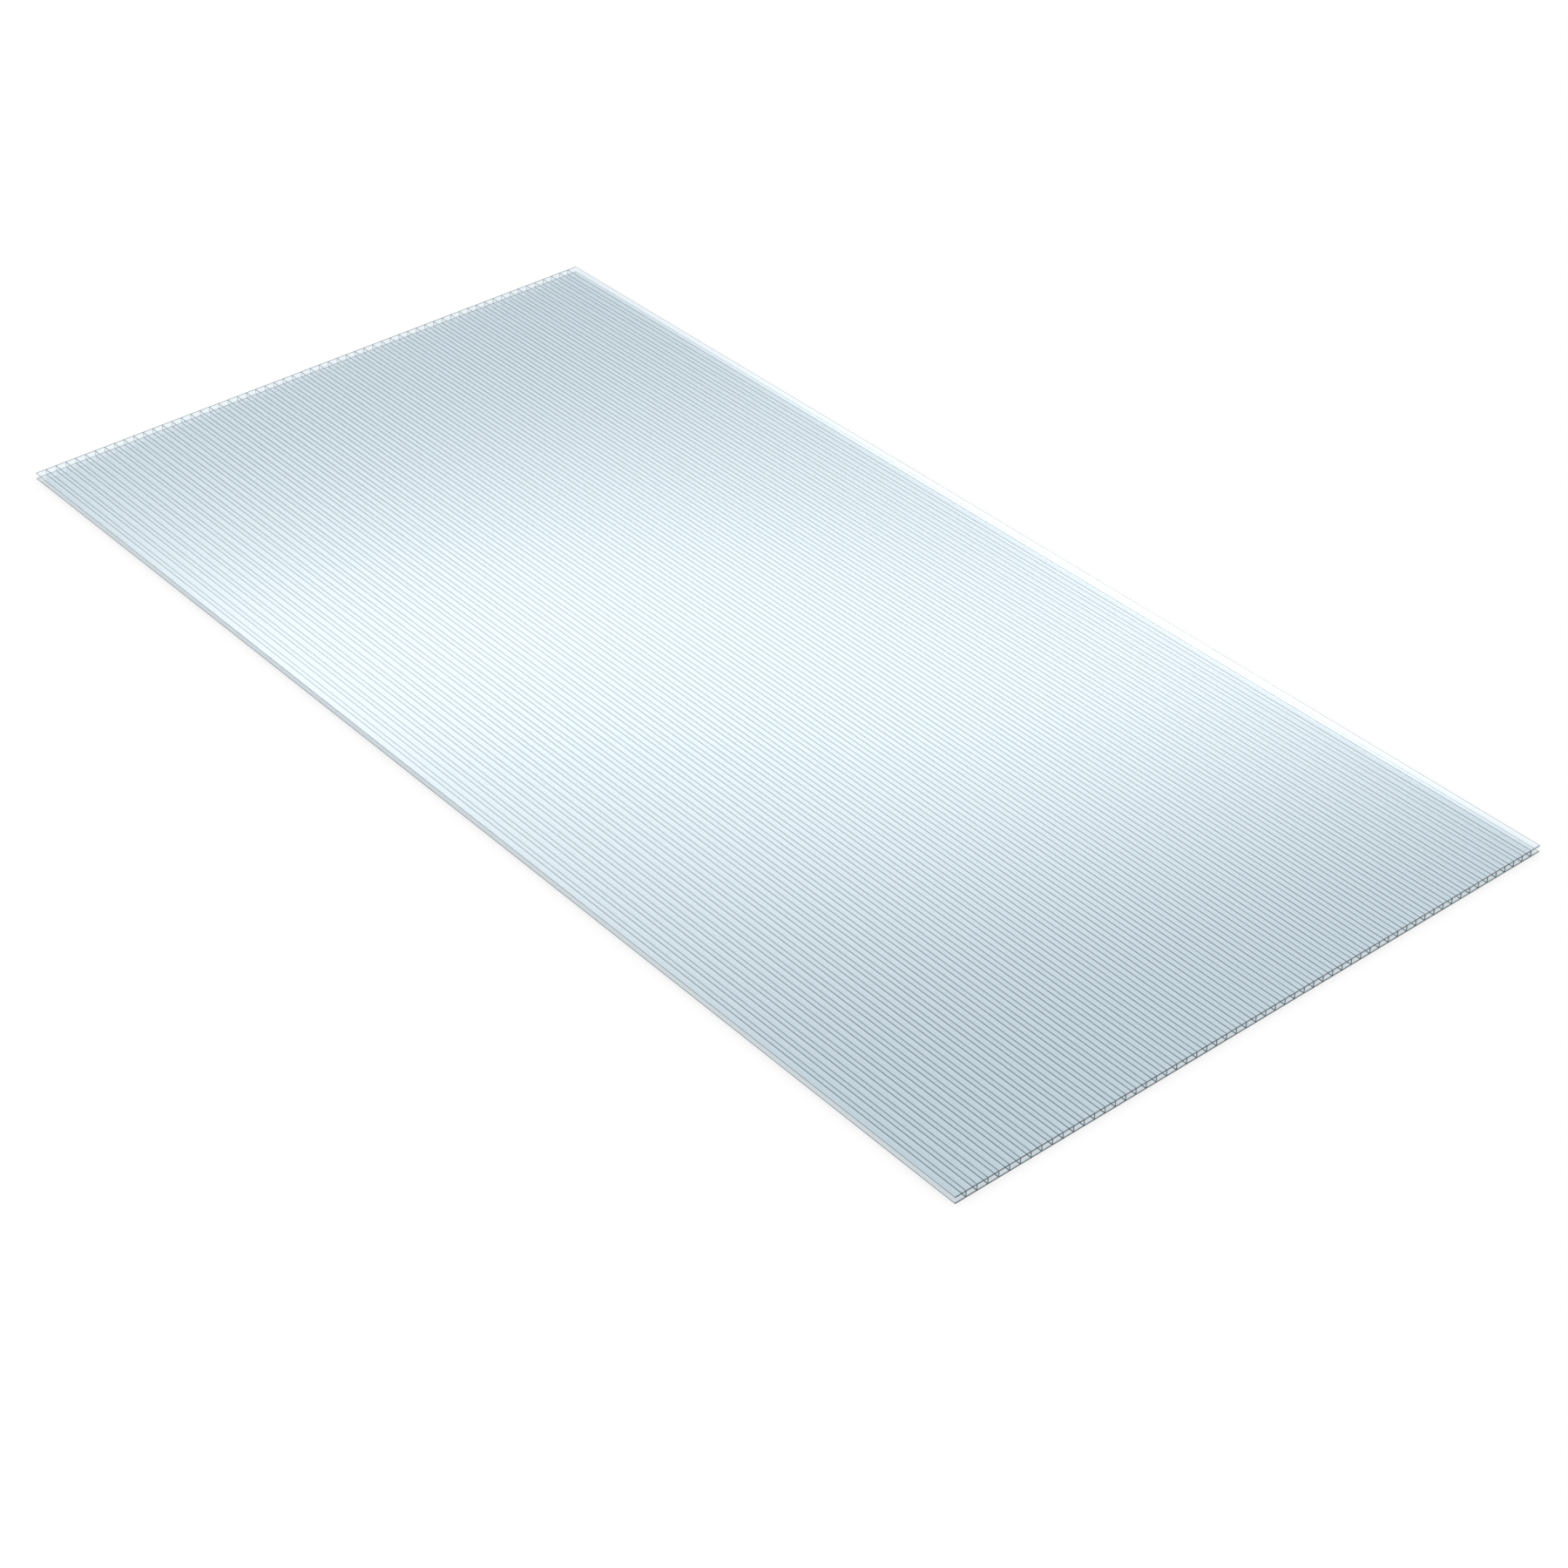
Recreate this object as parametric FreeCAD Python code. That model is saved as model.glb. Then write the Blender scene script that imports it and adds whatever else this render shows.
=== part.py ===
"""A twin-wall polycarbonate glazing sheet, extruded in one piece and sawn to size.

Two thin skins are joined by upright webs, which leave a row of open flutes between them.
The flutes run the length of the sheet and are open at both sawn ends.
The long sides are sawn through a flute, so the outermost flute on each side is open sideways.

Frame: origin at the centre of the underside, X across the flutes, Y along them, Z up.
All sizes are in millimetres.
"""

import FreeCAD
import Part
import math
import os

# Driving dimensions
SHEET_WIDTH = 600.0
SHEET_LENGTH = 1210.0
SHEET_THICKNESS = 6.0
SKIN_THICKNESS = 0.45
WEB_THICKNESS = 0.35
WEB_PITCH = 10.0
# The die leaves a small fillet where a web meets a skin
WEB_ROOT_RADIUS = 0.3

# Worked out from the driving dimensions
# The sides are sawn a pitch outside the last webs, or up to half a pitch more or less
WEB_COUNT = round(SHEET_WIDTH / WEB_PITCH) - 1
FIRST_WEB_X = -WEB_PITCH * (WEB_COUNT - 1) / 2
FLUTE_FLOOR = SKIN_THICKNESS
FLUTE_CEILING = SHEET_THICKNESS - SKIN_THICKNESS


def point(x, z):
    """A point of the section, which is drawn on the plane of one sawn end."""
    return FreeCAD.Vector(x, -SHEET_LENGTH / 2, z)


def line(start, end):
    """A straight edge of the section."""
    return Part.LineSegment(start, end).toShape()


def root(centre_x, centre_z, from_angle):
    """A quarter-circle fillet at a web's root, with its centre inside the flute, from an angle in degrees."""
    start, middle, end = (
        point(
            centre_x + WEB_ROOT_RADIUS * math.cos(math.radians(from_angle + turn)),
            centre_z + WEB_ROOT_RADIUS * math.sin(math.radians(from_angle + turn)),
        )
        for turn in (0, 45, 90)
    )
    return start, Part.Arc(start, middle, end).toShape(), end


def flute(left, right):
    """The closed outline of a flute between two webs: a rectangle with a fillet in each corner."""
    inner_left = left + WEB_ROOT_RADIUS
    inner_right = right - WEB_ROOT_RADIUS
    inner_floor = FLUTE_FLOOR + WEB_ROOT_RADIUS
    inner_ceiling = FLUTE_CEILING - WEB_ROOT_RADIUS
    corners = [
        root(inner_right, inner_ceiling, 0),
        root(inner_left, inner_ceiling, 90),
        root(inner_left, inner_floor, 180),
        root(inner_right, inner_floor, 270),
    ]
    edges = []
    for corner, following in zip(corners, corners[1:] + corners[:1]):
        edges.append(corner[1])
        edges.append(line(corner[2], following[0]))
    return Part.Wire(edges)


def outline():
    """The outside of the section: both skins, with the half-open flute of each long side cut in."""
    edge_x = SHEET_WIDTH / 2
    # How far out the bottom of each side's open flute lies: the outer face of the last web
    web_face = -FIRST_WEB_X + WEB_THICKNESS / 2
    inner_x = web_face + WEB_ROOT_RADIUS
    inner_floor = FLUTE_FLOOR + WEB_ROOT_RADIUS
    inner_ceiling = FLUTE_CEILING - WEB_ROOT_RADIUS
    right_low = root(inner_x, inner_floor, 180)
    right_high = root(inner_x, inner_ceiling, 90)
    left_low = root(-inner_x, inner_floor, 270)
    left_high = root(-inner_x, inner_ceiling, 0)
    return Part.Wire(
        [
            line(point(-edge_x, 0), point(edge_x, 0)),
            line(point(edge_x, 0), point(edge_x, FLUTE_FLOOR)),
            line(point(edge_x, FLUTE_FLOOR), right_low[2]),
            right_low[1],
            line(right_low[0], right_high[2]),
            right_high[1],
            line(right_high[0], point(edge_x, FLUTE_CEILING)),
            line(point(edge_x, FLUTE_CEILING), point(edge_x, SHEET_THICKNESS)),
            line(point(edge_x, SHEET_THICKNESS), point(-edge_x, SHEET_THICKNESS)),
            line(point(-edge_x, SHEET_THICKNESS), point(-edge_x, FLUTE_CEILING)),
            line(point(-edge_x, FLUTE_CEILING), left_high[2]),
            left_high[1],
            line(left_high[0], left_low[2]),
            left_low[1],
            line(left_low[0], point(-edge_x, FLUTE_FLOOR)),
            line(point(-edge_x, FLUTE_FLOOR), point(-edge_x, 0)),
        ]
    )


def sheet():
    """The extrusion: the section with its flutes, run along the whole length."""
    flutes = []
    for number in range(WEB_COUNT - 1):
        web_x = FIRST_WEB_X + number * WEB_PITCH
        left = web_x + WEB_THICKNESS / 2
        right = web_x + WEB_PITCH - WEB_THICKNESS / 2
        flutes.append(flute(left, right))
    section = Part.makeFace([outline()] + flutes, "Part::FaceMakerBullseye")
    return section.extrude(FreeCAD.Vector(0, SHEET_LENGTH, 0))


os.makedirs("parts", exist_ok=True)
twinwall_sheet = sheet()
twinwall_sheet.exportStep("parts/twinwall_sheet.step")
print("webs", WEB_COUNT, "volume mm3", round(twinwall_sheet.Volume, 1), "valid", twinwall_sheet.isValid())
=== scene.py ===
# %% [markdown]
# # A twin-wall polycarbonate sheet
# The part is one extrusion: two thin clear skins held apart by upright webs, and sawn off all round.
# A clear part has almost no colour of its own. Its looks come from light that bends, mirrors and fades
# in walls of a real thickness. So this lesson builds those walls as one closed mesh, gives them a
# plastic that bends light as the real one does, and sets up a white studio that shows such a part.
#
# The imported model comes first, and it stays as it is. Its box gives the sheet's outside sizes.

import math

import bpy
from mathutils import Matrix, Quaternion, Vector


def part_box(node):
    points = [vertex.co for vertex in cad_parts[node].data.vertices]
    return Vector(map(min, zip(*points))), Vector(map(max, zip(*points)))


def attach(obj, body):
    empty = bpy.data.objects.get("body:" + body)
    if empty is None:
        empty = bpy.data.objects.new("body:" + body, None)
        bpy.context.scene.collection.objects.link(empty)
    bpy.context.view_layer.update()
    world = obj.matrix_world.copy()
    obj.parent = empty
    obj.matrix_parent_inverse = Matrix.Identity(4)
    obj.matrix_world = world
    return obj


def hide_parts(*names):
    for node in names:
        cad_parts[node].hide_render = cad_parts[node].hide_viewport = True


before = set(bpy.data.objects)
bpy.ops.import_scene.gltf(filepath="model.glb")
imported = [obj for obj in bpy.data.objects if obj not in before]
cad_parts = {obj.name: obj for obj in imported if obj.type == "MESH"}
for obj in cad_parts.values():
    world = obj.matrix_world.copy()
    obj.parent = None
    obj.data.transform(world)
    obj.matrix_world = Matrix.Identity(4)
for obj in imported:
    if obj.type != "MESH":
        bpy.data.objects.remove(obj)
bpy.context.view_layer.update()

# %% [markdown]
# ## Sizes
# Every size could be typed in, but then the looks could drift from the model. So the outside comes
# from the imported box, and only what a box can't tell, such as how thick a skin is, is written here,
# once. Blender counts in metres, and a maker thinks in millimetres, so each value names its unit.

# %% The sheet's sizes
MM = 0.001
sheet_low, sheet_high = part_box("twinwall_sheet")
WIDTH, LENGTH, THICKNESS = sheet_high - sheet_low
SKIN = 0.45 * MM
WEB = 0.35 * MM
PITCH = 10 * MM
ROOT_RADIUS = 0.3 * MM
WEB_COUNT = round(WIDTH / PITCH) - 1
print("sheet", round(WIDTH, 4), "x", round(LENGTH, 4), "x", round(THICKNESS, 4), "m, webs", WEB_COUNT)

# %% [markdown]
# ## Colours
# A colour picked on a screen is an sRGB value, and light adds up in linear values. Blender's sockets
# want the second kind, so one function turns hex values into it.


# %% Hex colours to linear light
def linear(hex_colour):
    """The linear red, green, blue and alpha of an sRGB hex colour such as 'e0f0ff'."""
    channels = [int(hex_colour[i : i + 2], 16) / 255 for i in (0, 2, 4)]
    return (*[c / 12.92 if c <= 0.04045 else ((c + 0.055) / 1.055) ** 2.4 for c in channels], 1.0)


print("mid grey 808080 is", round(linear("808080")[0], 3), "in linear light")

# %% [markdown]
# ## Nodes
# Shapes and materials are both trees of nodes. Adding a node, setting it and linking it takes several
# calls, so one small function does all three. Its inputs are named in a dictionary, or come in order
# in a tuple. A node given as a value stands for its first output that is in use.


# %% One function for every node
def add(tree, kind, inputs=(), **settings):
    """Adds a node to a tree with its settings, and sets or links its inputs."""
    node = tree.nodes.new(kind)
    for name, value in settings.items():
        setattr(node, name, value)
    in_use = [socket for socket in node.inputs if socket.enabled]
    for key, value in inputs.items() if isinstance(inputs, dict) else enumerate(inputs):
        socket = in_use[key] if isinstance(key, int) else next(s for s in in_use if s.name == key)
        if isinstance(value, bpy.types.Node):
            value = next(output for output in value.outputs if output.enabled)
        if isinstance(value, bpy.types.NodeSocket):
            tree.links.new(value, socket)
        else:
            socket.default_value = value
    return node


print("add() takes a tree, a kind of node, its inputs and its settings")

# %% [markdown]
# ## The sheet as a rule
# On the real sheet a steel die gives every metre the same section, so the whole shape is a rule: draw
# the section, leave out the flutes, run it along. It could be modelled by hand with a cube and loop
# cuts, but 59 webs make that slow, and a changed size would mean starting again. Geometry Nodes hold
# the rule itself, with the sizes as named inputs.

# %% A tree with named inputs
shape = bpy.data.node_groups.new("extruded_sheet", "GeometryNodeTree")
LENGTHS = ("Width", "Length", "Thickness", "Skin", "Web", "Pitch", "Root Radius", "Sink", "Sink Reach")
COUNTS = ("Web Count", "Root Steps", "Steps per Pitch")
for name in LENGTHS:
    shape.interface.new_socket(name, in_out="INPUT", socket_type="NodeSocketFloat")
for name in COUNTS:
    shape.interface.new_socket(name, in_out="INPUT", socket_type="NodeSocketInt")
shape.interface.new_socket("Plastic", in_out="INPUT", socket_type="NodeSocketMaterial")
shape.interface.new_socket("Sheet", in_out="OUTPUT", socket_type="NodeSocketGeometry")
given = add(shape, "NodeGroupInput").outputs
print("named inputs", len(LENGTHS) + len(COUNTS) + 1)

# %% [markdown]
# ## The outline
# The saw ran along a flute at each long side, so no web closes the sheet there and the outline is a
# wide letter H lying down, with twelve corners. Each corner's place is worked out from the inputs with
# Math nodes. The section is drawn flat first: X runs across the sheet, and Y up through it.

# %% Where the outline turns
half_width = add(shape, "ShaderNodeMath", (given["Width"], 0.5), operation="MULTIPLY")
minus_half_width = add(shape, "ShaderNodeMath", (given["Width"], -0.5), operation="MULTIPLY")
spans = add(shape, "ShaderNodeMath", (given["Web Count"], 1.0), operation="SUBTRACT")
webs_span = add(shape, "ShaderNodeMath", (spans, given["Pitch"]), operation="MULTIPLY")
webs_reach = add(shape, "ShaderNodeMath", (webs_span, given["Web"]), operation="ADD")
last_web_face = add(shape, "ShaderNodeMath", (webs_reach, 0.5), operation="MULTIPLY")
first_web_face = add(shape, "ShaderNodeMath", (webs_reach, -0.5), operation="MULTIPLY")
ceiling = add(shape, "ShaderNodeMath", (given["Thickness"], given["Skin"]), operation="SUBTRACT")
corners = [
    (minus_half_width, 0.0),
    (half_width, 0.0),
    (half_width, given["Skin"]),
    (last_web_face, given["Skin"]),
    (last_web_face, ceiling),
    (half_width, ceiling),
    (half_width, given["Thickness"]),
    (minus_half_width, given["Thickness"]),
    (minus_half_width, ceiling),
    (first_web_face, ceiling),
    (first_web_face, given["Skin"]),
    (minus_half_width, given["Skin"]),
]
print("outline corners", len(corners))

# %% [markdown]
# A line of twelve points becomes the outline: an Index Switch hands each point its own corner, and the
# line is then turned into a closed curve. An Index Switch starts with two items, so it gets more.

# %% The outline as a closed curve
index = add(shape, "GeometryNodeInputIndex")
corner_places = add(shape, "GeometryNodeIndexSwitch", {"Index": index}, data_type="VECTOR")
while len(corner_places.index_switch_items) < len(corners):
    corner_places.index_switch_items.new()
for number, (x, y) in enumerate(corners):
    corner = add(shape, "ShaderNodeCombineXYZ", {"X": x, "Y": y})
    shape.links.new(corner.outputs[0], corner_places.inputs[number + 1])
corner_points = add(shape, "GeometryNodeMeshLine", {"Count": len(corners)})
placed = add(shape, "GeometryNodeSetPosition", {"Geometry": corner_points, "Position": corner_places})
open_outline = add(shape, "GeometryNodeMeshToCurve", {"Mesh": placed})
sharp_outline = add(shape, "GeometryNodeSetSplineCyclic", {"Geometry": open_outline, "Cyclic": True})
print("outline points", corner_points.inputs["Count"].default_value)

# %% [markdown]
# ## Steps along the skins
# Each skin is one straight run in the outline, and a straight run can't dip. The real skins sink a
# little over every web, where the plastic is thicker and shrinks more as it cools. So the two runs,
# which start at every sixth corner, get points in even steps for the dips to come.

# %% Points along both skins
pitches = add(shape, "ShaderNodeMath", (given["Width"], given["Pitch"]), operation="DIVIDE")
steps = add(shape, "ShaderNodeMath", (pitches, given["Steps per Pitch"]), operation="MULTIPLY")
cuts = add(shape, "ShaderNodeMath", (steps, 1.0), operation="SUBTRACT")
turn = add(shape, "ShaderNodeMath", (index, len(corners) / 2), operation="MODULO")
starts_a_skin = add(shape, "ShaderNodeMath", (turn, 0.5), operation="LESS_THAN")
cuts_here = add(shape, "ShaderNodeMath", (starts_a_skin, cuts), operation="MULTIPLY")
stepped_outline = add(shape, "GeometryNodeSubdivideCurve", {"Curve": sharp_outline, "Cuts": cuts_here})
STEPS_PER_PITCH = 20
print("steps along a skin", round(WIDTH / PITCH) * STEPS_PER_PITCH)

# %% [markdown]
# ## Roots
# A die can't leave a knife-sharp corner where a web meets a skin: the plastic flows into a small round
# fillet, the web's root. Fillet Curve rounds every corner, so its radius is switched off on the sawn
# ones. A root is a corner that lies inside both the sheet's width and its thickness, by a hair at least.

# %% Fillets at the four inner corners
HAIR = 0.01 * MM
ROOT_STEPS = 5
place = add(shape, "GeometryNodeInputPosition")
flat = add(shape, "ShaderNodeSeparateXYZ", {"Vector": place}).outputs
half_thickness = add(shape, "ShaderNodeMath", (given["Thickness"], 0.5), operation="MULTIPLY")
off_centre = add(shape, "ShaderNodeMath", (flat["X"],), operation="ABSOLUTE")
above_middle = add(shape, "ShaderNodeMath", (flat["Y"], half_thickness), operation="SUBTRACT")
off_middle = add(shape, "ShaderNodeMath", (above_middle,), operation="ABSOLUTE")
inner_width = add(shape, "ShaderNodeMath", (half_width, HAIR), operation="SUBTRACT")
inner_thickness = add(shape, "ShaderNodeMath", (half_thickness, HAIR), operation="SUBTRACT")
within_sides = add(shape, "ShaderNodeMath", (off_centre, inner_width), operation="LESS_THAN")
within_skins = add(shape, "ShaderNodeMath", (off_middle, inner_thickness), operation="LESS_THAN")
at_a_root = add(shape, "ShaderNodeMath", (within_sides, within_skins), operation="MULTIPLY")
root_radius = add(shape, "ShaderNodeMath", (at_a_root, given["Root Radius"]), operation="MULTIPLY")
outline = add(
    shape,
    "GeometryNodeFilletCurve",
    {"Curve": stepped_outline, "Radius": root_radius, "Count": given["Root Steps"]},
    mode="POLY",
)
print("root radius", ROOT_RADIUS / MM, "mm in", ROOT_STEPS, "steps")

# %% [markdown]
# ## The closed flutes
# Between two webs lies a closed flute, a rectangle with rounded corners. All flutes are alike, so one
# is drawn and put on a line of points, one pitch apart. The copies are realized straight away, because
# the next step has to see real curves.

# %% One flute, repeated between the webs
flute_width = add(shape, "ShaderNodeMath", (given["Pitch"], given["Web"]), operation="SUBTRACT")
flute_height = add(shape, "ShaderNodeMath", (ceiling, given["Skin"]), operation="SUBTRACT")
sharp_flute = add(
    shape, "GeometryNodeCurvePrimitiveQuadrilateral", {"Width": flute_width, "Height": flute_height}
)
flute = add(
    shape,
    "GeometryNodeFilletCurve",
    {"Curve": sharp_flute, "Radius": given["Root Radius"], "Count": given["Root Steps"]},
    mode="POLY",
)
centres_span = add(shape, "ShaderNodeMath", (webs_span, given["Pitch"]), operation="SUBTRACT")
first_flute_x = add(shape, "ShaderNodeMath", (centres_span, -0.5), operation="MULTIPLY")
first_flute = add(shape, "ShaderNodeCombineXYZ", {"X": first_flute_x, "Y": half_thickness})
one_pitch = add(shape, "ShaderNodeCombineXYZ", {"X": given["Pitch"]})
flute_centres = add(
    shape, "GeometryNodeMeshLine", {"Count": spans, "Start Location": first_flute, "Offset": one_pitch}
)
flute_copies = add(shape, "GeometryNodeInstanceOnPoints", {"Points": flute_centres, "Instance": flute})
flutes = add(shape, "GeometryNodeRealizeInstances", {"Geometry": flute_copies})
print("closed flutes", WEB_COUNT - 1)

# %% [markdown]
# ## The filled section
# Fill Curve covers what lies inside the outline and outside the flutes, which is just the plastic. Then
# the points on the two outer faces move inwards over each web, in a soft dip a hundredth of a millimetre
# deep. Nobody sees such a dip itself, but a lamp mirrored in the skin wavers over it.

# %% Fill the curves, and let the skins sink over the webs
SINK = 0.01 * MM
SINK_REACH = 0.9 * MM
curves = add(shape, "GeometryNodeJoinGeometry", {"Geometry": flutes})
shape.links.new(outline.outputs[0], curves.inputs[0])
filled = add(shape, "GeometryNodeFillCurve", {"Curve": curves})
half_pitch = add(shape, "ShaderNodeMath", (given["Pitch"], 0.5), operation="MULTIPLY")
to_web = add(shape, "ShaderNodeMath", (flat["X"], half_pitch), operation="PINGPONG")
share_of_reach = add(shape, "ShaderNodeMath", (to_web, given["Sink Reach"]), operation="DIVIDE")
squared = add(shape, "ShaderNodeMath", (share_of_reach, 2.0), operation="POWER")
falling = add(shape, "ShaderNodeMath", (squared, -1.0), operation="MULTIPLY")
dip = add(shape, "ShaderNodeMath", (falling,), operation="EXPONENT")
over_webs = add(shape, "ShaderNodeMath", (half_width, half_pitch), operation="SUBTRACT")
has_web = add(shape, "ShaderNodeMath", (off_centre, over_webs), operation="LESS_THAN")
on_outside = add(shape, "ShaderNodeMath", (off_middle, inner_thickness), operation="GREATER_THAN")
dips_here = add(shape, "ShaderNodeMath", (has_web, on_outside), operation="MULTIPLY")
depth = add(shape, "ShaderNodeMath", (dip, given["Sink"]), operation="MULTIPLY")
depth_here = add(shape, "ShaderNodeMath", (depth, dips_here), operation="MULTIPLY")
outward = add(shape, "ShaderNodeMath", (above_middle,), operation="SIGN")
move_out = add(shape, "ShaderNodeMath", (depth_here, outward), operation="MULTIPLY")
move_in = add(shape, "ShaderNodeMath", (move_out, -1.0), operation="MULTIPLY")
inwards = add(shape, "ShaderNodeCombineXYZ", {"Y": move_in})
section = add(shape, "GeometryNodeSetPosition", {"Geometry": filled, "Offset": inwards})
print("dips", SINK / MM, "mm deep, nodes so far", len(shape.nodes))

# %% [markdown]
# ## The extrusion
# The section now stands up at the near end, and Extrude Mesh runs it along the sheet. It makes the walls
# and the far end, but leaves the near end open, so a copy of the section closes it and Merge by Distance
# welds the two. Its offset has to be linked: a value typed into that socket isn't used.

# %% The near end, the walls and the far end, welded
to_near_end = add(shape, "ShaderNodeMath", (given["Length"], -0.5), operation="MULTIPLY")
near_place = add(shape, "ShaderNodeCombineXYZ", {"Y": to_near_end})
UPRIGHT = (math.pi / 2, 0, 0)
near_end = add(
    shape,
    "GeometryNodeTransform",
    {"Geometry": section, "Translation": near_place, "Rotation": UPRIGHT},
)
start = add(shape, "GeometryNodeFlipFaces", {"Mesh": near_end})
along = add(shape, "ShaderNodeCombineXYZ", {"Y": given["Length"]})
walls = add(shape, "GeometryNodeExtrudeMesh", {"Mesh": start, "Offset": along, "Individual": False})
parts = add(shape, "GeometryNodeJoinGeometry", {"Geometry": near_end})
shape.links.new(walls.outputs["Mesh"], parts.inputs[0])
welded = add(shape, "GeometryNodeMergeByDistance", {"Geometry": parts, "Distance": HAIR / 10})
print("extruded over", round(LENGTH, 4), "m")

# %% [markdown]
# ## Smooth and crisp
# The dips should look soft, and every other wall flat. Where a flat wall meets a round root, smooth
# shading would bend the light all over the wall, and the lamp would be mirrored in the wrong place. So
# only edges that hardly turn, as in a dip, are smooth, and the rest are kept crisp. Last, each face
# that the saw cut is marked with a number, which the material reads to make it matt.

# %% Shading, and a mark on every sawn face
CRISP_ANGLE = math.radians(4)
smooth = add(shape, "GeometryNodeSetShadeSmooth", {"Geometry": welded})
edge_turn = add(shape, "GeometryNodeInputMeshEdgeAngle")
turns_sharply = add(shape, "ShaderNodeMath", (edge_turn, CRISP_ANGLE), operation="GREATER_THAN")
crisp = add(
    shape,
    "GeometryNodeSetShadeSmooth",
    {"Geometry": smooth, "Selection": turns_sharply, "Shade Smooth": False},
    domain="EDGE",
)
normal = add(shape, "ShaderNodeSeparateXYZ", {"Vector": add(shape, "GeometryNodeInputNormal")}).outputs
faces_along = add(shape, "ShaderNodeMath", (normal["Y"],), operation="ABSOLUTE")
at_an_end = add(shape, "ShaderNodeMath", (faces_along, 0.5), operation="GREATER_THAN")
at_a_side = add(shape, "ShaderNodeMath", (off_centre, inner_width), operation="GREATER_THAN")
sawn_face = add(shape, "ShaderNodeMath", (at_an_end, at_a_side), operation="MAXIMUM")
marked = add(
    shape,
    "GeometryNodeStoreNamedAttribute",
    {"Geometry": crisp, "Name": "sawn", "Value": sawn_face},
    data_type="FLOAT",
    domain="FACE",
)
realized = add(shape, "GeometryNodeRealizeInstances", {"Geometry": marked})
finished = add(shape, "GeometryNodeSetMaterial", {"Geometry": realized, "Material": given["Plastic"]})
add(shape, "NodeGroupOutput", {"Sheet": finished})
print("shape tree nodes", len(shape.nodes), "links", len(shape.links))

# %% [markdown]
# ## The plastic
# Polycarbonate is a clear plastic that bends light more than window glass does. It could be faked with
# a see-through surface, but then every wall would look like film. Here light truly bends at each face,
# and fades a little on its way through: hardly in a skin, and more on the long way down inside a web.
# Volume Absorption gives both from one colour and one density. How fast it fades is given here.

# %% The plastic's own values
POLYCARBONATE_IOR = 1.585
# The share of light left after one millimetre of plastic
AFTER_A_MILLIMETRE = linear("f8fafb")
DIE_GLOSS = 0.03
SAWN_MATT = 0.45

plastic = bpy.data.materials.new("clear_extruded_polycarbonate")
plastic.use_nodes = True
look = plastic.node_tree
look.nodes.clear()
print("plastic", plastic.name, "refractive index", POLYCARBONATE_IOR)

# %% [markdown]
# ## The outer faces
# Such sheet often has a thin layer against the sun on its outer faces. So this lesson puts most of the
# tint there, in a given colour. The webs inside stay clear, so both halves of a flute look equally pale.
# A face is an outer one if it lies further out than the middle of a skin, and only the cut edges do that
# too.

# %% A mask of the two outer faces
position = add(look, "ShaderNodeTexCoord").outputs["Object"]
at = add(look, "ShaderNodeSeparateXYZ", {"Vector": position}).outputs
height = add(look, "ShaderNodeMath", (at["Z"], THICKNESS / 2), operation="SUBTRACT")
from_middle = add(look, "ShaderNodeMath", (height,), operation="ABSOLUTE")
outer_face = add(look, "ShaderNodeMath", (from_middle, (THICKNESS - SKIN) / 2), operation="GREATER_THAN")
print("outer faces lie past", round((THICKNESS - SKIN) / 2 / MM, 3), "mm from the middle")

# %% [markdown]
# ## Lines at the roots
# Light that meets a web's root is bent aside, and little of it comes back. So each web shows as two thin
# dark lines, one at its upper root and one at its lower root. Bending alone would leave these lines too
# pale, so painted shade, a dark colour on and over the roots, deepens them. A Ping-Pong node gives the
# distance to the nearest web, since the webs stand at whole pitches from the centre.

# %% A mask of the strips along the webs
# A root is one radius wide, and the strip goes on for half a radius more
LINE_HALF_WIDTH = WEB / 2 + ROOT_RADIUS * 3 / 2
SOFT_EDGE = 0.05 * MM
web_distance = add(look, "ShaderNodeMath", (at["X"], PITCH / 2), operation="PINGPONG")
in_a_strip = add(
    look,
    "ShaderNodeMapRange",
    {
        "Value": web_distance,
        "From Min": LINE_HALF_WIDTH - SOFT_EDGE,
        "From Max": LINE_HALF_WIDTH + SOFT_EDGE,
        "To Min": 1.0,
        "To Max": 0.0,
    },
    interpolation_type="SMOOTHSTEP",
)
side_distance = add(look, "ShaderNodeMath", (at["X"],), operation="ABSOLUTE")
inside_the_sides = add(look, "ShaderNodeMath", (side_distance, (WIDTH - PITCH) / 2), operation="LESS_THAN")
over_a_web = add(look, "ShaderNodeMath", (in_a_strip, inside_the_sides), operation="MULTIPLY")
print("a web's strip is", round(2 * LINE_HALF_WIDTH / MM, 2), "mm wide")

# %% [markdown]
# A web's own side walls lie in its strip too, and have to stay clear. So the painted shade keeps to the
# height of the roots and beyond. A lower root is half hidden behind its web, and an upper one isn't. With
# one strength of painted shade the upper lines would look far darker, so the upper half takes only a share
# of it.

# %% A mask of the roots and what lies over them
ROOT_HEIGHT = THICKNESS / 2 - SKIN - ROOT_RADIUS
near_a_skin = add(look, "ShaderNodeMath", (from_middle, ROOT_HEIGHT), operation="GREATER_THAN")
at_either_root = add(look, "ShaderNodeMath", (over_a_web, near_a_skin), operation="MULTIPLY")
UPPER_SHARE = 0.5
upper_half = add(look, "ShaderNodeMath", (height, 0.0), operation="GREATER_THAN")
share = add(look, "ShaderNodeMix", (upper_half, 1.0, UPPER_SHARE))
# Where painted shade darkens the web lines: fully at the lower roots, and by a share at the upper ones
painted_line_shade = add(look, "ShaderNodeMath", (at_either_root, share), operation="MULTIPLY")
print("roots start", round(ROOT_HEIGHT / MM, 2), "mm from the middle, upper share", UPPER_SHARE)
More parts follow.
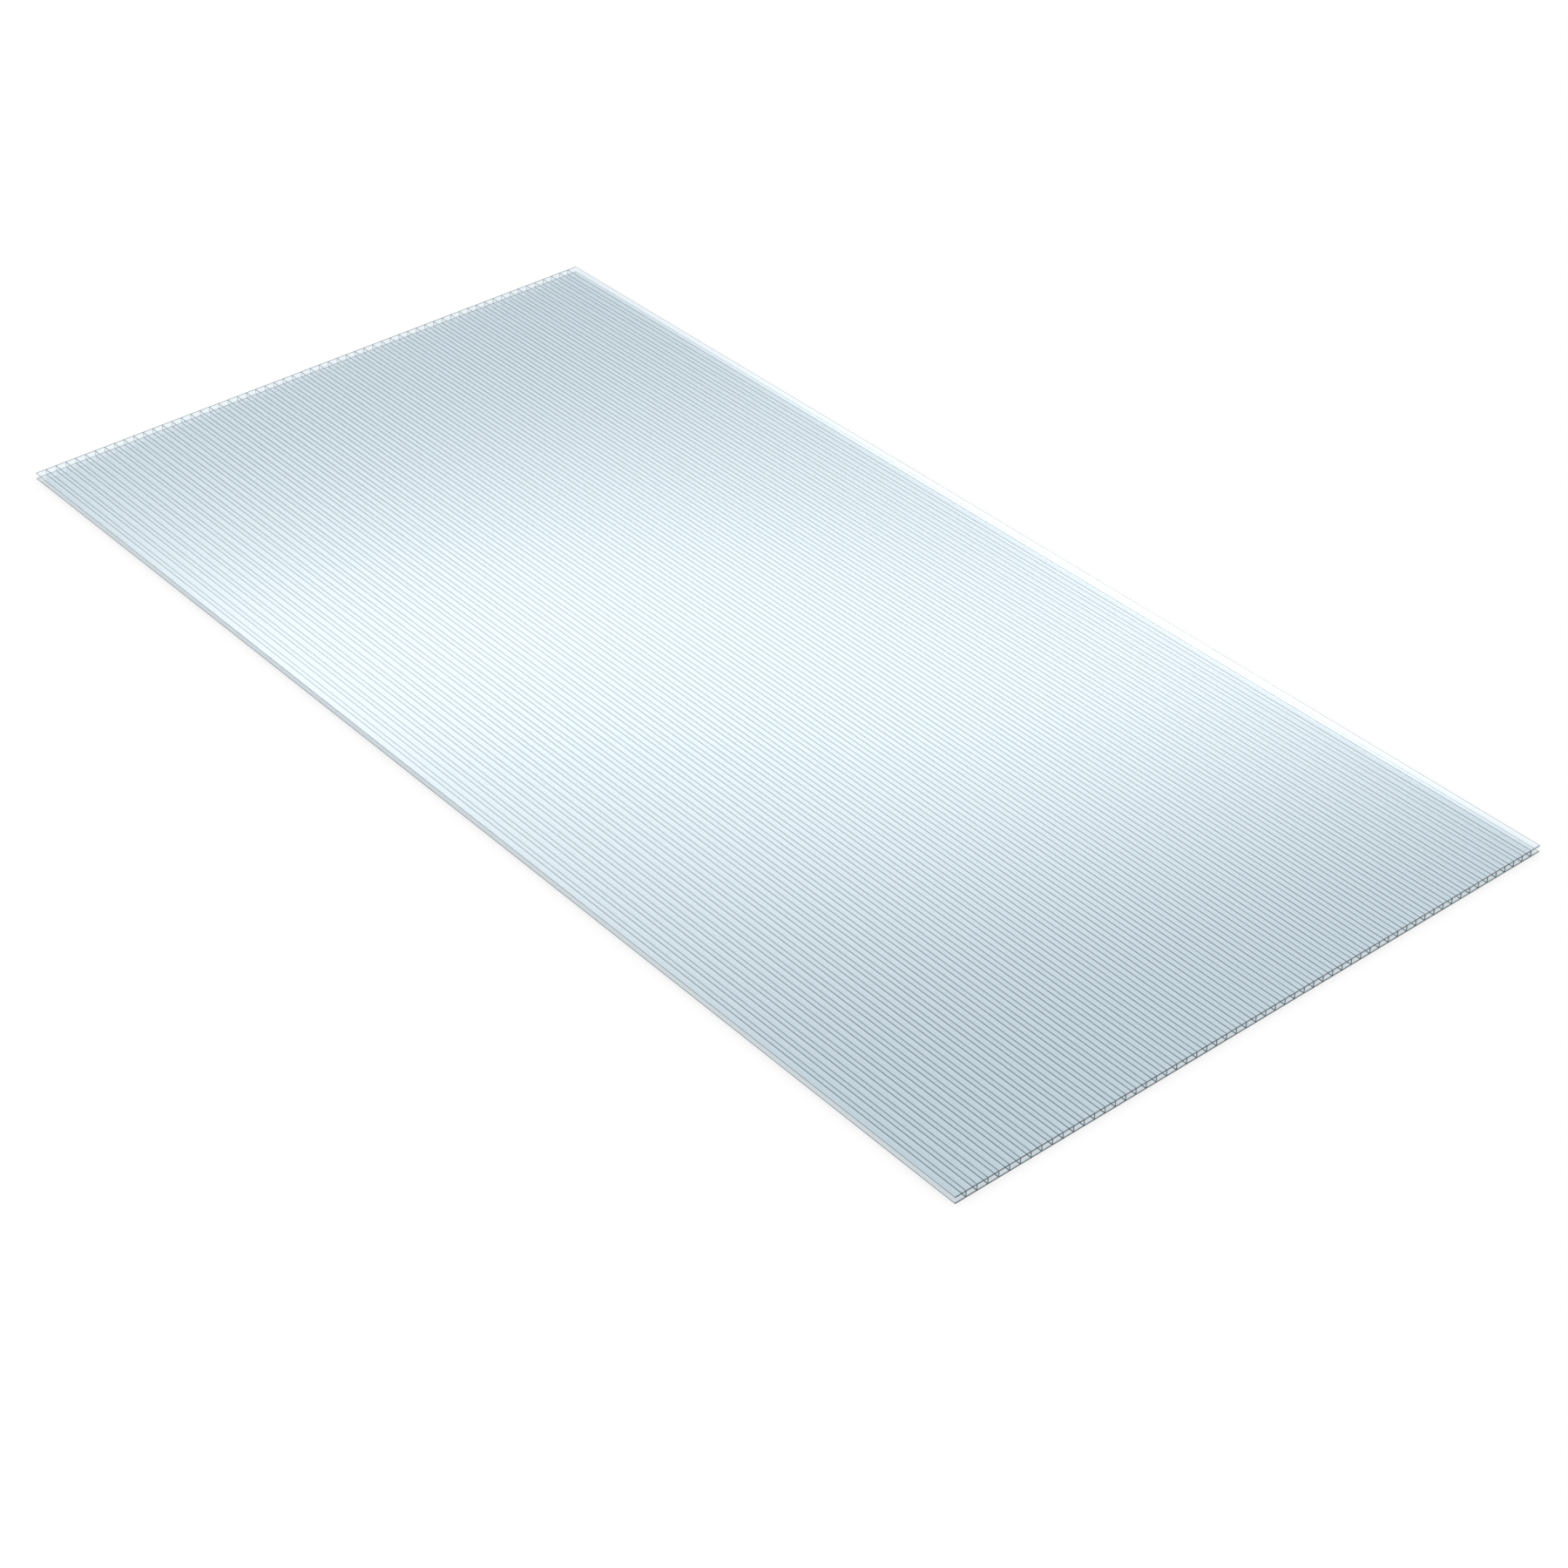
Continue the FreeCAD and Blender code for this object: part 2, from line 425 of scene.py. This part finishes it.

# %% [markdown]
# ## The sawn rim
# A saw blade rubs as it cuts, so each sawn face is frosted, which its roughness gives. A clear cut edge
# also shows as a thin dark line round the sheet, and that line is painted shade: a dark grey colour in a
# rim behind each cut. The rim is found from the distance to the ends and sides. It is wider at the ends
# than at the sides. The faces that were sawn are in it too.

# %% A mask of the rim
END_RIM = 0.8 * MM
SIDE_RIM = 0.3 * MM
end_distance = add(look, "ShaderNodeMath", (at["Y"],), operation="ABSOLUTE")
past_end = add(look, "ShaderNodeMath", (end_distance, LENGTH / 2 - END_RIM), operation="GREATER_THAN")
past_side = add(look, "ShaderNodeMath", (side_distance, WIDTH / 2 - SIDE_RIM), operation="GREATER_THAN")
# The rim is where the painted shade of the cut edge goes
in_the_rim = add(look, "ShaderNodeMath", (past_end, past_side), operation="MAXIMUM")
print("rim", END_RIM / MM, "mm at the ends,", SIDE_RIM / MM, "mm at the sides")

# %% [markdown]
# ## Die lines
# A steel die is never perfect, and each tiny nick in it draws a line along the whole sheet. Noise that
# is stretched along Y gives such lines. They change the gloss and the height a little, and leave the
# tint alone. Real ones can be much finer. These start twelve millimetres apart and divide by two three
# times, so that the coarse ones still show in a picture of the whole sheet.

# %% Noise stretched along the flutes
DIE_LINE_SPACING = 12 * MM
DIE_LINE_STRETCH = 400
stretched = add(
    look, "ShaderNodeVectorMath", (position, (1.0, 1 / DIE_LINE_STRETCH, 1.0)), operation="MULTIPLY"
)
die_lines = add(
    look,
    "ShaderNodeTexNoise",
    {"Vector": stretched, "Scale": 1 / DIE_LINE_SPACING, "Detail": 3.0, "Roughness": 0.6},
)
print("die lines", DIE_LINE_SPACING / MM, "mm apart and finer")

# %% [markdown]
# ## Saw marks
# Each tooth of a saw leaves a slanted scratch across the cut. A wave pattern that runs along the cut and
# leans with the height draws them, two millimetres apart, and only the sawn faces show it.

# %% Slanted waves on the cut faces
SAW_MARK_SPACING = 2 * MM
along_cut = add(look, "ShaderNodeMath", (at["X"], at["Y"]), operation="ADD")
slanted = add(look, "ShaderNodeMath", (along_cut, at["Z"]), operation="ADD")
turns = add(look, "ShaderNodeMath", (slanted, 2 * math.pi / SAW_MARK_SPACING), operation="MULTIPLY")
saw_marks = add(look, "ShaderNodeMath", (turns,), operation="SINE")
sawn = add(look, "ShaderNodeAttribute", attribute_name="sawn").outputs["Fac"]
print("saw marks", SAW_MARK_SPACING / MM, "mm apart")

# %% [markdown]
# ## Relief
# Bump gives both patterns a height without any new faces. The height is in metres, so that it can be
# judged as a real size: here a die line is up to a few thousandths of a millimetre deep, and a saw
# mark a few hundredths. Both are estimates.

# %% Bump from both patterns
DIE_LINE_DEPTH = 0.004 * MM
SAW_MARK_DEPTH = 0.03 * MM
line_height = add(look, "ShaderNodeMath", (die_lines, DIE_LINE_DEPTH), operation="MULTIPLY")
mark_height = add(look, "ShaderNodeMath", (saw_marks, SAW_MARK_DEPTH), operation="MULTIPLY")
relief_height = add(look, "ShaderNodeMix", (sawn, line_height, mark_height))
relief = add(look, "ShaderNodeBump", {"Strength": 1.0, "Distance": 1.0, "Height": relief_height})
print("relief", DIE_LINE_DEPTH / MM, "and", SAW_MARK_DEPTH / MM, "mm")

# %% [markdown]
# ## The surface shader
# The Principled shader takes all of it. Transmission makes it a clear body, and its base colour tints
# light on its way in and again on its way out. Lamps would cast hard-to-sample patterns through such a
# body, so shadow rays meet a Transparent shader and go straight on, fading only in the volume.

# %% Tints, painted shade, gloss and the finished material
CLEAR = linear("ffffff")
OUTER_TINT = linear("ddeef8")
# Painted shade: these two darker colours deepen the web lines beyond what bent light gives
OUTER_TINT_WITH_PAINTED_SHADE = linear("92aebb")
ROOT_PAINTED_SHADE = linear("5a717b")
# Painted shade: this dark grey draws the dark line along each cut edge
PAINTED_RIM_SHADE = linear("74848c")
tint_off_lines = add(look, "ShaderNodeMix", (outer_face, CLEAR, OUTER_TINT), data_type="RGBA")
tint_and_painted_shade_on_lines = add(look, "ShaderNodeMix", (outer_face, ROOT_PAINTED_SHADE, OUTER_TINT_WITH_PAINTED_SHADE), data_type="RGBA")
tint_with_painted_line_shade = add(look, "ShaderNodeMix", (painted_line_shade, tint_off_lines, tint_and_painted_shade_on_lines), data_type="RGBA")
tint_and_painted_shade = add(look, "ShaderNodeMix", (in_the_rim, tint_with_painted_line_shade, PAINTED_RIM_SHADE), data_type="RGBA")
gloss = add(look, "ShaderNodeMath", (die_lines, 2 * DIE_GLOSS), operation="MULTIPLY")
roughness = add(look, "ShaderNodeMix", (sawn, gloss, SAWN_MATT))
body = add(
    look,
    "ShaderNodeBsdfPrincipled",
    {
        "Base Color": tint_and_painted_shade,
        "Roughness": roughness,
        "IOR": POLYCARBONATE_IOR,
        "Normal": relief,
        "Transmission Weight": 1.0,
    },
)
rays = add(look, "ShaderNodeLightPath").outputs
straight_on = add(look, "ShaderNodeBsdfTransparent", {"Color": linear("f8fbfc")})
surface = add(look, "ShaderNodeMixShader", (rays["Is Shadow Ray"], body, straight_on))
FADE = [-math.log(share) / MM for share in AFTER_A_MILLIMETRE[:3]]
DENSITY = max(FADE)
FADE_COLOUR = (*[1 - fade / DENSITY for fade in FADE], 1.0)
volume = add(look, "ShaderNodeVolumeAbsorption", {"Color": FADE_COLOUR, "Density": DENSITY})
add(look, "ShaderNodeOutputMaterial", {"Surface": surface, "Volume": volume})
print("look nodes", len(look.nodes), "absorption per mm", [round(fade * MM, 3) for fade in FADE])

# %% [markdown]
# ## Build the sheet
# A modifier runs the tree on an empty mesh. Its inputs are set by each socket's identifier, and before
# the first evaluation. The result is copied into a plain mesh, and the modifier goes, so that what
# moves with the body is an ordinary object at the origin.

# %% From modifier to mesh
values = {
    "Width": WIDTH,
    "Length": LENGTH,
    "Thickness": THICKNESS,
    "Skin": SKIN,
    "Web": WEB,
    "Pitch": PITCH,
    "Root Radius": ROOT_RADIUS,
    "Sink": SINK,
    "Sink Reach": SINK_REACH,
    "Web Count": WEB_COUNT,
    "Root Steps": ROOT_STEPS,
    "Steps per Pitch": STEPS_PER_PITCH,
    "Plastic": plastic,
}
sheet = bpy.data.objects.new("clear_sheet", bpy.data.meshes.new("empty"))
bpy.context.scene.collection.objects.link(sheet)
modifier = sheet.modifiers.new("extruded_sheet", "NODES")
modifier.node_group = shape
for item in shape.interface.items_tree:
    if item.in_out == "INPUT":
        modifier[item.identifier] = values[item.name]
evaluated = sheet.evaluated_get(bpy.context.evaluated_depsgraph_get())
sheet_mesh = bpy.data.meshes.new_from_object(evaluated)
sheet_mesh.name = "clear_sheet"
sheet.modifiers.remove(modifier)
sheet.data = sheet_mesh
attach(sheet, "root")
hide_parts("twinwall_sheet")
print("sheet faces", len(sheet_mesh.polygons), "vertices", len(sheet_mesh.vertices))

# %% [markdown]
# ## White surroundings
# A clear part shows what is round it. Product pictures of one put it on white, under a white sky, so
# that the walls look pale and only the light they lose draws them. A world of strength 1 does that
# without burning any colour out.

# %% The sky
world = bpy.data.worlds.new("white_studio")
bpy.context.scene.world = world
world.use_nodes = True
sky = world.node_tree
sky.nodes.clear()
white_light = add(sky, "ShaderNodeBackground", {"Color": linear("ffffff"), "Strength": 1.0})
add(sky, "ShaderNodeOutputWorld", {"Surface": white_light})
print("world", world.name)

# %% [markdown]
# ## The floor
# The floor is a plain matt grey that takes the sheet's shadow, with a glow on top that only the camera
# and mirrored or bent rays see. So the floor reads as white without throwing more light on the part.
# It lies a tenth of a millimetre low, because two faces at one height would flicker.

# %% A matt floor with a glow for the eye
FLOOR_HALF = 20.0
FLOOR_Z = -0.1 * MM
FLOOR_GLOW = 0.73
floor_mesh = bpy.data.meshes.new("floor")
square = [(-1, -1), (1, -1), (1, 1), (-1, 1)]
floor_mesh.from_pydata([(x * FLOOR_HALF, y * FLOOR_HALF, FLOOR_Z) for x, y in square], [], [(0, 1, 2, 3)])
floor = bpy.data.objects.new("floor", floor_mesh)
bpy.context.scene.collection.objects.link(floor)
floor_material = bpy.data.materials.new("matt_white_floor")
floor_material.use_nodes = True
ground = floor_material.node_tree
ground.nodes.clear()
seen = add(ground, "ShaderNodeLightPath").outputs
matt = add(ground, "ShaderNodeBsdfDiffuse", {"Color": linear("929292")})
glow = add(ground, "ShaderNodeEmission", {"Color": linear("ffffff"), "Strength": FLOOR_GLOW})
direct = add(ground, "ShaderNodeMath", (seen["Is Camera Ray"], seen["Is Glossy Ray"]), operation="MAXIMUM")
by_eye = add(ground, "ShaderNodeMath", (direct, seen["Is Transmission Ray"]), operation="MAXIMUM")
glow_by_eye = add(ground, "ShaderNodeMixShader", {"Fac": by_eye})
ground.links.new(glow.outputs[0], glow_by_eye.inputs[2])
both = add(ground, "ShaderNodeAddShader", (matt, glow_by_eye))
add(ground, "ShaderNodeOutputMaterial", {"Surface": both})
floor_mesh.materials.append(floor_material)
print("floor", 2 * FLOOR_HALF, "m wide, glow", FLOOR_GLOW)

# %% [markdown]
# ## The softboxes
# A glossy sheet looks alive only where it mirrors something brighter than the rest. Two long softboxes,
# side by side behind the sheet, give one wide soft glare across its middle. Each is a plane that glows
# most at its middle and fades to nothing at its edges. Only light mirrored by the outer face shows them,
# so the glare lies over the web lines too and washes them out, and no other light falls on the part.

# %% A cloth that fades towards its edges
SOFTBOX_STRENGTH = 3.4
CLOTH_HALF = 3.0
softbox_mesh = bpy.data.meshes.new("softbox")
softbox_mesh.from_pydata([(x * CLOTH_HALF, y * CLOTH_HALF, 0) for x, y in square], [], [(0, 1, 2, 3)])
softbox_material = bpy.data.materials.new("softbox_cloth")
softbox_material.use_nodes = True
lamp = softbox_material.node_tree
lamp.nodes.clear()
on_lamp = add(lamp, "ShaderNodeTexCoord").outputs["Object"]
squares = add(lamp, "ShaderNodeVectorMath", (on_lamp, on_lamp), operation="DOT_PRODUCT").outputs["Value"]
fading = add(lamp, "ShaderNodeMath", (squares, -1.0), operation="MULTIPLY")
fade = add(lamp, "ShaderNodeMath", (fading,), operation="EXPONENT")
strength = add(lamp, "ShaderNodeMath", (fade, SOFTBOX_STRENGTH), operation="MULTIPLY")
lamp_glow = add(lamp, "ShaderNodeEmission", {"Color": linear("ffffff"), "Strength": strength})
see_through = add(lamp, "ShaderNodeBsdfTransparent")
glow_through = add(lamp, "ShaderNodeAddShader", (lamp_glow, see_through))
add(lamp, "ShaderNodeOutputMaterial", {"Surface": glow_through})
softbox_mesh.materials.append(softbox_material)
edge_strength = SOFTBOX_STRENGTH * math.exp(-(CLOTH_HALF**2))
print("softbox strength", SOFTBOX_STRENGTH, "in the middle and", round(edge_strength, 4), "at its edges")

# %% [markdown]
# The cloth's glow falls off over one metre, measured from its middle. So each softbox sets how far its
# own glow reaches with its scale alone. Both face the sheet from behind, and lean a little to the side.

# %% Two softboxes in place
SOFTBOX_HEADING = math.radians(38.9)
SOFTBOX_RISE = math.radians(35.7)
SOFTBOX_LEAN = math.radians(12.2)
# Distance from the sheet, shift to the right, shift up, and the glow's reach along and up, in metres
SOFTBOXES = {
    "left_softbox": (3.0, -0.65, 0.02, 1.59, 0.354),
    "right_softbox": (3.05, 0.78, -0.05, 1.26, 0.317),
}
flat_share = math.cos(SOFTBOX_RISE)
towards = Vector(
    (flat_share * math.sin(SOFTBOX_HEADING), flat_share * math.cos(SOFTBOX_HEADING), math.sin(SOFTBOX_RISE))
)
facing = towards.to_track_quat("Z", "Y")
for name, (distance, right, up, reach_along, reach_up) in SOFTBOXES.items():
    softbox = bpy.data.objects.new(name, softbox_mesh)
    bpy.context.scene.collection.objects.link(softbox)
    softbox.location = towards * distance + facing @ Vector((right, up, 0))
    softbox.rotation_euler = (facing @ Quaternion((0, 0, 1), SOFTBOX_LEAN)).to_euler()
    softbox.scale = (reach_along, reach_up, 1)
    softbox.visible_camera = False
    softbox.visible_diffuse = False
    softbox.visible_transmission = False
    softbox.visible_shadow = False
print("softboxes", {name: round(place[0], 2) for name, place in SOFTBOXES.items()}, "m away")

# %% [markdown]
# ## The camera
# The camera looks down on the sheet from beyond its near left corner, at the picture's own viewing
# angle, through a long lens, which keeps the long sides nearly parallel. On its way through so many
# clear walls a ray is bent and mirrored often, so it gets more bounces than usual.

# %% Camera and light paths
camera_data = bpy.data.cameras.new("camera")
camera_data.sensor_width = 36
camera_data.lens = 78.49
camera = bpy.data.objects.new("camera", camera_data)
bpy.context.scene.collection.objects.link(camera)
CAMERA_TILT = math.radians(36.575)
CAMERA_HEADING = math.radians(40.0025)
camera.location = (-1.46214, -1.8115, 1.59042)
camera.rotation_euler = (math.pi / 2 - CAMERA_TILT, 0, -CAMERA_HEADING)
bpy.context.scene.camera = camera
bpy.context.scene.view_settings.view_transform = "Standard"
MOST_BOUNCES = 32
paths = bpy.context.scene.cycles
paths.max_bounces = MOST_BOUNCES
paths.diffuse_bounces = 0
paths.transmission_bounces = MOST_BOUNCES
paths.glossy_bounces = MOST_BOUNCES
paths.transparent_max_bounces = 4 * MOST_BOUNCES
print("camera at", [round(v, 3) for v in camera.location], "bounces", MOST_BOUNCES)
